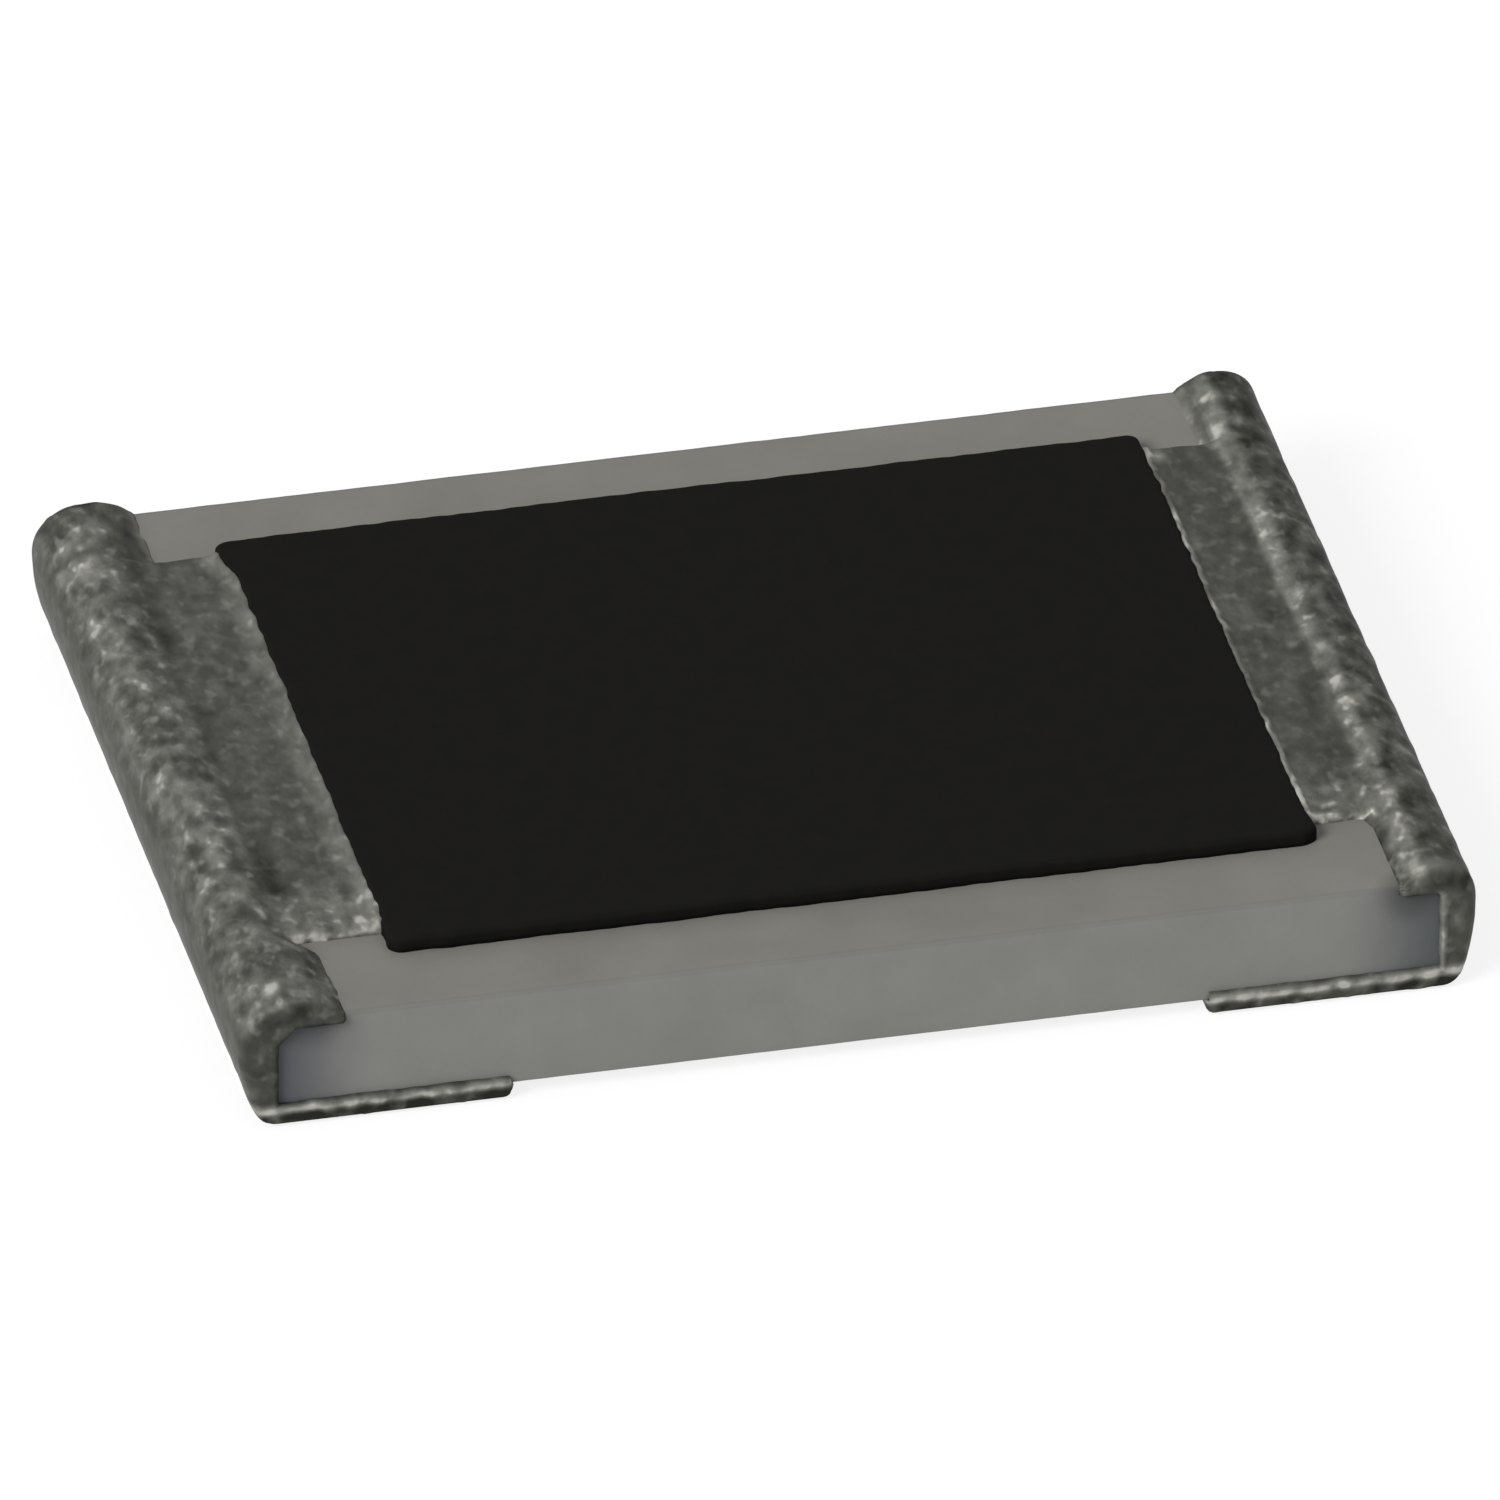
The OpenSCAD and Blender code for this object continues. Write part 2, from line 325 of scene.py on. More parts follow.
plate_low, plate_high = box("ceramic_substrate")
coat_low, coat_high = box("protective_overcoat")
glass_low, glass_high = box("inner_glass_coat")
top_z = plate_high[2]


def outward_reach(corners):
    """Nearest and furthest X of a box, counted outwards from the middle of the chip."""
    return sorted(abs(corner[0]) for corner in corners)


def end_sizes(word):
    """Sizes of one termination, with X counted outwards from the middle of the chip."""
    tin = box("tin_plating_" + word)
    nickel = box("nickel_barrier_" + word)
    paste = box("end_electrode_" + word)
    print_low, print_high = box("top_electrode_" + word)
    end = SimpleNamespace(word=word, **ENDS[word])
    end.tip_x, end.out_x = outward_reach(tin)
    paste_in, paste_out = outward_reach(paste)
    end.grown = end.out_x - paste_out
    end.skin = end.out_x - outward_reach(nickel)[1]
    end.half_w = tin[1][1]
    end.crest = tin[1][2]
    front, rear = end.pad_shift
    end.pad_y = (print_low[1] - end.grown + front, print_high[1] + end.grown + rear)
    end.pad_top = print_high[2] + end.grown
    end.coat_x = abs(coat_high[0] if end.side > 0 else coat_low[0])

    # Arcs of the section: the bead's inner slope, its outer shoulder, the flank and the foot
    rise = paste[1][2] - top_z
    end.shoulder_c = np.array([paste_out, paste[1][2]]) - SHOULDER_R
    end.shoulder_r = SHOULDER_R + end.grown
    span = end.shoulder_c[0] - paste_in
    end.bead_r = (span ** 2 + rise ** 2) / (2 * rise) + end.grown
    pad_depth = end.pad_top - end.crest + end.bead_r
    end.root_x = end.shoulder_c[0] - math.sqrt(end.bead_r ** 2 - pad_depth ** 2)
    end.foot_c = np.array([plate_high[0] + FOOT_BUILD - FOOT_R, end.grown + FOOT_R])
    end.foot_r = FOOT_R + end.grown
    inset = paste_out - end.foot_c[0]
    drop = end.shoulder_c[1] - end.foot_c[1]
    flank_r = (inset ** 2 + drop ** 2 - FOOT_R ** 2) / (2 * (inset - FOOT_R))
    end.flank_c = np.array([paste_out - flank_r, end.shoulder_c[1]])
    end.flank_r = flank_r + end.grown
    return end


# Tools for shapes
def bumps(points, size, seed):
    """Smooth noise of about -1 to 1 at each point, with features of the given size."""
    shift = Vector([seed * step for step in SEED_STEPS])
    flat = (points.reshape(-1, 3) / size).tolist()
    return np.array([noise.noise(Vector(p) + shift) for p in flat]).reshape(points.shape[:-1])


def waves(points, parts, seed_step=0):
    """Sum of noises that are given by their heights, sizes and seeds."""
    return sum(height * bumps(points, size, seed + seed_step) for height, size, seed in parts)


def smooth_max(a, b, width):
    return 0.5 * (a + b + np.sqrt((a - b) ** 2 + width ** 2))


def ease(value, span, base=0):
    """Smooth step from 0 to 1 as the value goes through a span that is counted from a base."""
    low, high = base + span[0], base + span[1]
    t = np.clip((value - low) / (high - low), 0, 1)
    return t * t * (3 - 2 * t)


def bump_at(value, place, width):
    """1 where the value is at the place, falling to 0 on both sides."""
    return np.exp(-((value - place) / width) ** 2)


def along(places, run, corners):
    """Points at places along a line, from its corners and their distances along it."""
    return np.stack([np.interp(places, run, corners[:, k]) for k in (0, 1)], 1)


def with_zero(spots):
    """Flat points with a third place of 0."""
    return np.pad(spots, ((0, 0), (0, 1)))


def divide(loop, step):
    """A closed loop with its long stretches divided. Columns after the first two are carried along."""
    parts = []
    for here, there in zip(loop, np.roll(loop, -1, axis=0)):
        count = max(1, round(np.linalg.norm((there - here)[:2]) / step))
        t = np.arange(count)[:, None] / count
        parts.append(here + t * (there - here))
    return np.concatenate(parts)


def add_piece(name, points, faces, material, node):
    mesh = bpy.data.meshes.new(name)
    mesh.from_pydata((points * MM).tolist(), [], faces)
    mesh.polygons.foreach_set("use_smooth", [True] * len(faces))
    mesh.materials.append(material)
    piece = bpy.data.objects.new(name, mesh)
    bpy.context.scene.collection.objects.link(piece)
    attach(piece, "root")
    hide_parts(node)
    return piece


def grid_faces(rows, columns, keep=None, flip=False, closed=False):
    """Quads of a grid of points, wrapped round along its rows if closed."""
    faces = []
    for i in range(rows - 1):
        for j in range(columns if closed else columns - 1):
            if keep is not None and not keep[i, j]:
                continue
            k = (j + 1) % columns
            quad = (i * columns + j, (i + 1) * columns + j, (i + 1) * columns + k, i * columns + k)
            faces.append(quad if flip else quad[::-1])
    return faces


def row_face(row, columns):
    """One face with all the points of a grid's row."""
    return tuple(range(row * columns, (row + 1) * columns))


# Form of the tin
def outer_path(end):
    """Outer line of the plating from the land's tip to the bead's crest, with its outward directions."""
    lines = []

    def arc(centre, radius, start, stop, power=2):
        count = max(LEAST_ARC_POINTS, round(abs(stop - start) * radius / TIN_STEP))
        a = np.linspace(start, stop, count, endpoint=False)
        way = np.stack([np.cos(a), np.sin(a)], 1)
        fuller = np.sum(np.abs(way) ** power, axis=1) ** (-1 / power)
        lines.append((centre + radius * way * fuller[:, None], way))

    tip_z = plate_low[2] + np.array(TIP_UPRIGHT)
    lines.append((np.stack([np.full(2, end.tip_x), tip_z], 1), np.tile([-1.0, 0.0], (2, 1))))
    arc(np.array([end.tip_x + TIP_R, TIP_R]), TIP_R, -math.pi, -math.pi / 2)
    sole_x = np.arange(end.tip_x + TIP_R, end.foot_c[0], SOLE_STEP)
    lines.append((np.stack([sole_x, 0 * sole_x], 1), np.tile([0.0, -1.0], (len(sole_x), 1))))
    foot_way = end.foot_c - end.flank_c
    foot_a = math.atan2(foot_way[1], foot_way[0])
    arc(end.foot_c, end.foot_r, -math.pi / 2, foot_a)
    arc(end.flank_c, end.flank_r, foot_a, 0)
    arc(end.shoulder_c, end.shoulder_r, 0, math.pi / 2, end.power)
    return np.concatenate([p for p, _ in lines]), np.concatenate([w for _, w in lines])


def cross_rows(end):
    """Places across the chip for the plating's rows, closer together at the pad's two long edges."""
    ys = np.arange(-ROW_END, ROW_END, TIN_STEP)
    for edge, way in zip(end.pad_y, (1, -1)):
        near = np.sort(edge + way * EDGE_ROWS)
        apart = (ys < near[0] - ROW_GAP) | (ys > near[-1] + ROW_GAP)
        ys = np.concatenate([ys[apart], near])
    return np.sort(ys)


def pad_inside(end, spots):
    """Distance inside the pad's two long edges, which sway a little."""
    y = spots[..., 1]
    return np.minimum(y - end.pad_y[0], end.pad_y[1] - y) + waves(spots, PAD_WAVES)


def coat_edge(end, y):
    """Place of the coat's ragged edge on one pad, counted outwards. It reaches further at its corners."""
    spots = np.stack([np.full_like(y, end.side * end.coat_x), y, 0 * y], -1)
    ragged = end.coat_x + waves(spots, COAT_EDGE_WAVES)
    front, rear = end.ears
    return ragged + front * ease(-y, COAT_EAR_SPAN) + rear * ease(y, COAT_EAR_SPAN)


def hollow(end, spots):
    """0 to 1 in the broken hollow between the bead and the pad."""
    broken = np.clip(HOLLOW_SHARE + waves(spots, HOLLOW_WAVES, end.side), 0, 1)
    return broken * bump_at(end.side * spots[..., 0] - end.root_x, *HOLLOW_BUMP)


def top_height(end, x, y):
    """Height of the plating over the plate: the bead, the hollow beside it and the pad with its rims."""
    spots = np.stack([end.side * x, y, 0 * x], -1)
    front, rear = ease(-y, BESIDE_PAD_SPAN), ease(y, BESIDE_PAD_SPAN)
    sway = waves(spots, BEAD_WAVES, end.side)
    sway += end.narrow[0] * front + end.narrow[1] * rear
    back = end.shoulder_c[0] - x
    back += np.minimum(sway, BEAD_SWAY_LIMIT) * ease(back, BEAD_CREST_SPAN)
    bead = end.crest - end.bead_r + np.sqrt(end.bead_r ** 2 - np.clip(back, 0, end.bead_r) ** 2)

    # The pad rises from its long edges in a quarter circle
    inside = pad_inside(end, spots)
    t = np.clip(inside / PAD_ROUND, 0, 1)
    full = np.sqrt(1 - (1 - t) ** 2)
    pad = top_z + (end.pad_top - top_z) * full - PAD_SKIRT * np.clip(-inside / PAD_SKIRT, 0, 1)
    pad += full * PAD_RIDGE_HEIGHT * bump_at(x - coat_edge(end, y), *PAD_RIDGE_BUMP)
    pad += full * PAD_RIM_HEIGHT * bump_at(inside, *PAD_RIM_BUMP)
    pad -= full * HOLLOW_DEPTH * hollow(end, spots)
    return smooth_max(bead, pad, BLEND + end.soft[0] * front + end.soft[1] * rear) - BLEND_DROP


def evened(values):
    """Rising values, smoothed over their neighbours and kept rising."""
    weights = np.exp(-np.linspace(-EVEN_TAIL, EVEN_TAIL, 2 * EVEN_REACH + 1) ** 2)
    smooth = np.convolve(np.pad(values, EVEN_REACH, "edge"), weights / weights.sum(), "valid")
    return smooth + EVEN_RISE * np.arange(len(values))


def lip_lines(end, outer):
    """Inner edge of a lip on the plate's side face and the lines of its hem: the place on each beside
    each point of the outer line."""
    in_x, low_z, high_z = plate_high[0] - end.grown, plate_low[2] + end.grown, top_z - end.grown
    cut_corner = [[in_x, high_z - end.cut], [in_x - end.cut, high_z]]
    corners = np.array([[end.tip_x + LIP_END, low_z], [in_x, low_z], *cut_corner, [end.coat_x, high_z]])
    inward = np.array([[0, 1], [-1, 1], [-1, -LIP_TURN], [-LIP_TURN, -1], [0, -1]])
    run = np.concatenate([[0], np.cumsum(np.linalg.norm(np.diff(corners, axis=0), axis=1))])
    places = np.arange(0, run[-1], LIP_STEP)
    gaps = np.linalg.norm(outer[:, None] - along(places, run, corners)[None], axis=2)
    beside = evened(np.maximum.accumulate(places[np.argmin(gaps, axis=1)]))
    return np.stack([along(beside, run, corners + inset * inward) for inset in HEM_INSETS], 1)


def bend_radii(outer, inner):
    """Rounding of the front and the rear long edge, small under the land and larger round the end and the
    bead, where the rear one is sharper."""
    heights = outer[:, 1]
    front = np.interp(heights, BEND_HEIGHTS, BEND_RADII)
    front = np.minimum(front, BEND_SHARE * np.linalg.norm(outer - inner[:, 0], axis=1))
    return np.stack([front, front * (1 - REAR_SHARPER * ease(heights, REAR_SHARPER_SPAN))], 1)


def edge_block(flat, out, r, inner, half_w):
    """One row's end on a side face: the rounded edge, the lip with its raised rim, and the hem."""
    a = np.radians(np.linspace(0, 90, BEND_POINTS)[1:])
    bent = flat - np.outer(r * (1 - np.cos(a)), out)
    bent_y = half_w - LIP_SINK - r + r * np.sin(a)
    across = inner[0] - bent[-1]
    t = np.linspace(0, 1, LIP_POINTS)[1:]
    face = bent[-1] + np.outer(t, across)
    to_edge = (1 - t) * np.linalg.norm(across)
    face_y = half_w - LIP_SINK * (1 - bump_at(to_edge, 0, LIP_RIM))
    hem_y = half_w - np.array(HEM_DEPTHS)
    spots = np.concatenate([bent, face, inner[1:]])
    return np.stack([spots[:, 0], np.concatenate([bent_y, face_y, hem_y]), spots[:, 1]], 1)


def plating_row(end, rows, place, out, inner, radii, over):
    """Points of one row across the chip with a lip on both side faces, and which of them are metal. Over
    the plate the row follows the top, and the lips thin out towards the bead's root."""
    wide = np.full(2, end.half_w)
    if over:
        sides = top_height(end, np.full(2, place[0]), np.array([-THIN_LIP_Y, THIN_LIP_Y]))
        thin = plate_high[1] + THIN_LIP
        wide = thin + (end.half_w - thin) * ease(sides, THIN_LIP_SPAN, top_z)
    front, rear = wide - LIP_SINK - radii
    ys = np.interp(rows, [-ROW_END, -ROW_HOLD, ROW_HOLD, ROW_END], [-front, -ROW_HOLD, ROW_HOLD, rear])
    flat = np.tile(place, (len(ys), 1))
    metal = np.full(len(ys), True)
    if over:
        flat[:, 1] = top_height(end, flat[:, 0], ys)
        metal = flat[:, 1] > top_z
        bend_limits = np.maximum(flat[[0, -1], 1] - top_z + LOW_BEND, LEAST_BEND)
        radii = np.minimum(radii, bend_limits)
    edges = []
    for k, sign in ((0, -1), (-1, 1)):
        edges.append(edge_block(flat[k], out, radii[k], inner, wide[k]) * np.array([1, sign, 1]))
    middle = np.stack([flat[:, 0], ys, flat[:, 1]], 1)
    return np.concatenate([edges[0][::-1], middle, edges[1]]), np.pad(metal, len(edges[0]), "edge")


def plating_grid(end):
    """Points of one end's tin, from the land's tip round the end and over the bead to the overcoat. Also
    which points are metal, and the first row over the plate."""
    path, path_out = outer_path(end)
    over_x = np.arange(end.shoulder_c[0], end.coat_x - UNDER_COAT, -TOP_STEP)
    first_over = len(path)
    outer = np.concatenate([path, np.stack([over_x, np.full(len(over_x), end.crest)], 1)])
    out = np.concatenate([path_out, np.tile([0.0, 1.0], (len(over_x), 1))])
    inner = lip_lines(end, outer)
    radii = bend_radii(outer, inner)
    rows = cross_rows(end)
    made = []
    for i, place in enumerate(outer):
        made.append(plating_row(end, rows, place, out[i], inner[i], radii[i], i >= first_over))
    return np.array([points for points, _ in made]), np.array([metal for _, metal in made]), first_over


def nickel_cover(end, points, ways):
    """How far each point has to be moved outwards to leave the least cover of tin over the nickel."""
    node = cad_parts["nickel_barrier_" + end.word]
    corners = [node.matrix_world @ v.co / MM for v in node.data.vertices]
    tree = BVHTree.FromPolygons(corners, [tuple(p.vertices) for p in node.data.polygons])
    moves = []
    for spot, way in zip(points.reshape(-1, 3).tolist(), ways.reshape(-1, 3).tolist()):
        start = Vector(spot) + COVER_SEARCH * Vector(way)
        found, _, _, distance = tree.ray_cast(start, -Vector(way), 2 * COVER_SEARCH)
        moves.append(NO_COVER if found is None else COVER_SEARCH + LEAST_TIN - distance)
    return np.array(moves).reshape(points.shape[:-1])


# Growth and tones of the tin
def tin_regions(end, grid, placed, first_over):
    """How far each point of the tin belongs to each of its regions, from 0 to 1."""
    x, y, z = np.moveaxis(grid, 2, 0)
    wide = np.abs(y)
    edge = pad_inside(end, placed)
    over = slice(first_over, None)
    at = SimpleNamespace()
    at.top = ease(z, TOP_SPAN)
    at.pad = at.top * ease(end.root_x + PAD_LAP - x, (0, 2 * PAD_LAP))
    at.pad_front = at.pad * ease(-y, PAD_FRONT_SPAN)
    at.pad_edge = at.pad * bump_at(edge, *PAD_EDGE_BUMP) * ease(end.root_x - x, PAD_EDGE_SPAN)
    at.by_coat = at.pad * ease(edge, BY_COAT_SPAN)
    at.bead = at.top * (1 - at.pad)
    at.outside = ease(x, OUTSIDE_SPAN, end.shoulder_c[0])
    end_face = (plate_high[0] + END_FACE_IN, end.out_x - END_FACE_OUT)
    at.end_face = ease(x, end_face) * (1 - ease(z, END_FACE_TOP_SPAN))
    at.side = ease(wide, SIDE_SPAN, end.half_w)
    at.land = 1 - ease(z, LAND_SPAN)
    at.roll = at.land * ease(wide, ROLL_SPAN, end.half_w)
    at.corner = ease(wide, CORNER_SPANS[1]) * ease(x, CORNER_SPANS[0]) * ease(z, CORNER_SPANS[2])
    at.upright = ease(x, UPRIGHT_SPAN, plate_high[0])
    at.hem = np.zeros(z.shape)
    at.hem[:, :len(HEM_SHARES)] = HEM_SHARES
    at.hem[:, -len(HEM_SHARES):] = HEM_SHARES[::-1]
    at.root = np.zeros(z.shape)
    at.root[over] = (1 - ease(z[over], ROOT_SPAN, top_z)) * (edge[over] < ROOT_EDGE)
    at.root *= 1 - at.side
    at.shown = np.ones(z.shape)
    at.shown[over] = ease(z[over], SHOWN_SPAN, top_z)
    return at


def tin_growth(end, grid, placed, at):
    """Relief of the grown lumps and its strength, the rope of grains along the land, and the nodules."""
    stretched = placed * GRAIN_STRETCH
    growth = SimpleNamespace()
    growth.relief = waves(stretched, COARSE_WAVES, end.side) * (1 - PAD_COARSE_LOSS * at.pad)
    growth.relief += waves(stretched, MIDDLE_WAVES, end.side)
    growth.strength = (1 - PAD_CALM * at.pad - END_CALM * at.end_face) * (1 - SIDE_CALM * at.side)
    growth.strength *= 1 + LAND_ROUGH * at.land
    growth.strength *= 1 - at.corner
    growth.rope = waves(placed, ROPE_WAVES)
    growth.nodule = np.zeros(at.top.shape)
    for spot in end.nodules:
        near = np.exp(-np.sum(((grid - spot) / NODULE_SIZE) ** 2, axis=2))
        growth.nodule = np.maximum(growth.nodule, near)
    return growth


def grown_sheet(end, grid, metal, at, growth):
    """The tin's points in their places, moved by the growth and by the cover that the nickel needs."""
    normal = np.cross(np.gradient(grid, axis=1), np.gradient(grid, axis=0))
    normal /= np.maximum(np.linalg.norm(normal, axis=2, keepdims=True), TINY)
    turned = np.array([end.side, 1, 1])
    lumps = np.clip(LUMP_BASE + LUMP_HEIGHT * growth.relief, *LUMP_RANGE)
    lift = at.shown * growth.strength * lumps
    lift += (ROPE_HEIGHT * at.roll * growth.rope + NODULE_HEIGHT * growth.nodule) * (1 - at.hem)
    cover = nickel_cover(end, grid * turned, normal * turned)
    lift = np.maximum(lift, np.where(metal, np.minimum(cover, COVER_LIMIT), NO_COVER))
    sheet = grid + normal * lift[:, :, None]
    sheet[:, :, 0] = np.minimum(sheet[:, :, 0], end.out_x)
    sheet[:, :, 1] = np.clip(sheet[:, :, 1], -end.half_w, end.half_w)
    sheet[:, :, 2] = np.clip(sheet[:, :, 2], 0, end.crest)
    return sheet * turned


def tin_tone(end, grid, placed, at, growth):
    """Tone of the grown grain with painted light and shade: dull on the pad, painted highlights on rims and
    beside the coat, painted shade in the hollow.
    """
    x, y, z = np.moveaxis(grid, 2, 0)
    # Painted highlights on the lumps' peaks and on the nodules, and painted shade between the lumps
    tone = TONE.plain + TONE.relief * growth.relief * growth.strength + TONE.nodule * growth.nodule

    # The bead with its painted light and shade, the painted shade in the hollow beside it, and the end face
    tone += at.bead * (end.inner_tone * (1 - at.outside) + end.outer_tone * at.outside)
    tone += at.bead * TONE.bead_rear_painted_shade * ease(y, BEAD_REAR_SHADE_SPAN)
    tone += at.bead * TONE.bead_side_painted_shade * at.side * (1 - growth.nodule)
    tone += at.root * np.where(y > 0, end.root_tone, TONE.front_root_painted_shade)
    tone += at.top * end.hollow_tone * hollow(end, placed)
    tone += at.end_face * (end.face_tone + TONE.low_end * (1 - ease(z, LOW_END_SPAN)))

    # The pad with painted highlights on its rims, and the band and the broken painted highlight line beside
    # the coat
    past = x - coat_edge(end, y)
    band_tone, band_width = end.band
    broken = HIGHLIGHT_LINE_SHARE + waves(placed, HIGHLIGHT_LINE_WAVES)
    tone += end.pad_tone * at.pad + TONE.pad_front * at.pad_front
    tone += at.pad_edge * np.where(y < 0, end.rim_tone, TONE.rear_rim_painted_highlight)
    tone += at.by_coat * band_tone * (1 - ease(past, band_width * BAND_FADE))
    tone += at.by_coat * end.line * broken * bump_at(past, *HIGHLIGHT_LINE_BUMP)

    # The side lips, painted light and shade on their hems, and painted light and shade on the rolled edge
    # of the land
    light, dark = ease(z, ROLL_PAINTED_LIGHT_SPAN), 1 - ease(z, ROLL_PAINTED_SHADE_SPAN)
    tone += end.lip_tone * at.side * (1 - at.land)
    tone += at.hem * (1 - at.land) * (end.hem_tone * at.upright + TONE.level_hem_painted_shade * (1 - at.upright))
    tone += at.roll * (TONE.roll_painted_light * light + TONE.roll_painted_shade * dark + TONE.rope * growth.rope)
    return tone


def tin_grit(at):
    """Strength of the finest grain, less on the end and side faces and on the pad away from its front."""
    calm_pad = at.pad - at.pad_front
    return (1 - PAD_FINER * calm_pad - END_FINER * at.end_face) * (1 - SIDE_FINER * at.side)


def plating(end, material):
    """One end's tin, as a lumpy sheet with the thickness of the skin."""
    grid, metal, first_over = plating_grid(end)

    # The grid counts X outwards, and placed has the same points at their own end of the chip
    placed = grid * np.array([end.side, 1, 1])
    at = tin_regions(end, grid, placed, first_over)
    growth = tin_growth(end, grid, placed, at)
    sheet = grown_sheet(end, grid, metal, at, growth)

    # Only the faces with metal, and only the points that they use
    rows, columns = metal.shape
    keep = metal[:-1, :-1] | metal[1:, :-1] | metal[:-1, 1:] | metal[1:, 1:]
    faces = np.array(grid_faces(rows, columns, keep, flip=end.side < 0))
    used = np.unique(faces)
    renamed = np.zeros(rows * columns, int)
    renamed[used] = np.arange(len(used))
    points = sheet.reshape(-1, 3)[used]
    node = "tin_plating_" + end.word
    piece = add_piece("tin_" + end.word, points, renamed[faces].tolist(), material, node)
    for name, values in (("tone", tin_tone(end, grid, placed, at, growth)), ("grit", tin_grit(at))):
        shade = piece.data.attributes.new(name, "FLOAT", "POINT")
        shade.data.foreach_set("value", np.clip(values, 0, 1).reshape(-1)[used])
    skin = piece.modifiers.new("skin", "SOLIDIFY")
    skin.thickness = end.skin * MM
    skin.offset = -1


# Black coat
def coat_line():
    """Uneven outline of the black coat, with its outward directions."""
    low, high = coat_low[:2], coat_high[:2]
    middle, half = (low + high) / 2, (high - low) / 2 - COAT_CORNER_R
    corners = []
    for quarter in range(4):
        a = np.radians(np.linspace(0, 90, COAT_CORNER_POINTS) + 90 * quarter)
        way = np.stack([np.cos(a), np.sin(a)], 1)
        centre = middle + half * np.sign(way[COAT_CORNER_POINTS // 2])
        corners.append(np.concatenate([centre + COAT_CORNER_R * way, way], 1))
    line, way = np.split(divide(np.concatenate(corners), COAT_STEP), 2, axis=1)
    spots = with_zero(line)
    for word in WORDS:
        end = end_sizes(word)
        facing = way[:, 0] * (way[:, 0] * end.side > 0)
        line[:, 0] += facing * (coat_edge(end, spots[:, 1]) - end.coat_x)
    line[:, 1] += way[:, 1] * waves(spots, COAT_SIDE_WAVES)
    return line, way


def coat_floor(spots):
    """Height of what lies under the black coat."""
    z = np.full(len(spots), top_z - COAT_SINK)
    for word in WORDS:
        low, high = box("top_electrode_" + word)
        z[np.all((spots > low[:2]) & (spots < high[:2]), axis=1)] = high[2]
    z[np.all((spots > glass_low[:2]) & (spots < glass_high[:2]), axis=1)] = glass_high[2]
    return z


def overcoat(material):
    """The printed black coat: a slightly uneven outline, a rounded edge and an almost level top."""
    line, way = coat_line()
    middle = (coat_low[:2] + coat_high[:2]) / 2
    height = coat_high[2]
    rings = [(line, top_z - COAT_SINK), (line, top_z + COAT_WALL)]
    for a in np.radians(np.linspace(0, 90, COAT_EDGE_POINTS)):
        inset = COAT_EDGE_R * (1 - math.cos(a))
        drop = COAT_EDGE_R * (1 - math.sin(a))
        rings.append((line - way * inset, height - drop))
    inside = line - way * COAT_INSIDE
    for k in np.linspace(0, COAT_HEART, COAT_TOP_RINGS):
        spots = inside + k * (middle - inside)
        dip = waves(with_zero(spots), COAT_TOP_WAVES)
        rings.append((spots, height - COAT_TOP_DROP + dip))
    first_below = len(rings)
    for k in np.linspace(COAT_HEART, 0, COAT_FLOOR_RINGS):
        spots = inside + k * (middle - inside)
        rings.append((spots, coat_floor(spots)))
    count = len(line)
    points = np.concatenate([np.column_stack([p, np.broadcast_to(z, count)]) for p, z in rings])
    points[:, 2] = np.minimum(points[:, 2], height)

    # The rings of the top and of the floor end in one face each, and the last ring meets the first
    keep = np.full((len(rings) - 1, count), True)
    keep[first_below - 1] = False
    faces = grid_faces(len(rings), count, keep, closed=True)
    last = row_face(len(rings) - 1, count)
    for j in range(count):
        k = (j + 1) % count
        faces.append((last[k], k, j, last[j]))
    faces.append(row_face(first_below - 1, count))
    faces.append(row_face(first_below, count)[::-1])
    add_piece("overcoat", points, faces, material, "protective_overcoat")


# Ceramic plate
def plate_section():
    """Section of the plate across the chip, with rounded edges."""
    loop = []
    for quarter, (across, up, r) in enumerate(PLATE_EDGES):
        a = np.radians(90 * quarter - 90 + np.linspace(0, 90, PLATE_EDGE_POINTS))
        y = across * (plate_high[1] - r)
        z = top_z - r if up > 0 else plate_low[2] + r
        loop.append(np.stack([y + r * np.cos(a), z + r * np.sin(a)], 1))
    return divide(np.concatenate(loop), PLATE_STEP)


def ceramic(material):
    """The fired plate: a rounded section run along the chip, with soft, slightly uneven edges."""
    section = plate_section()
    xs = np.linspace(plate_low[0], plate_high[0], PLATE_ROWS)
    points = np.zeros((len(xs), len(section), 3))
    points[:, :, 0] = xs[:, None]
    points[:, :, 1:] = section
    centre = np.array([0, 0, (top_z + plate_low[2]) / 2])
    inward = np.sign(centre - points)
    on_side = np.abs(points[:, :, 1]) > plate_high[1] - EDGE_WEAR_WIDTH
    on_top = points[:, :, 2] > centre[2]
    worn = PLATE_WEAR * (1 + waves(points, PLATE_WEAR_WAVES))
    worn += on_side * EDGE_WEAR * (1 + waves(points, EDGE_WEAR_WAVES))
    points[:, :, 1] += inward[:, :, 1] * worn * on_side
    points[:, :, 2] += inward[:, :, 2] * worn * TOP_WEAR_SHARE * on_top
    count = len(section)
    faces = grid_faces(len(xs), count, closed=True)
    faces.append(row_face(0, count))
    faces.append(row_face(len(xs) - 1, count)[::-1])
    add_piece("ceramic_plate", points.reshape(-1, 3), faces, material, "ceramic_substrate")


# Tools for materials
def linear(level):
    """Linear value of a screen level of 0 to 255, by the sRGB curve."""
    share = level / 255
    if share <= 0.04045:
        return share / 12.92
    return ((share + 0.055) / 1.055) ** 2.4


def srgb(levels):
    return tuple(linear(level) for level in levels) + (1.0,)


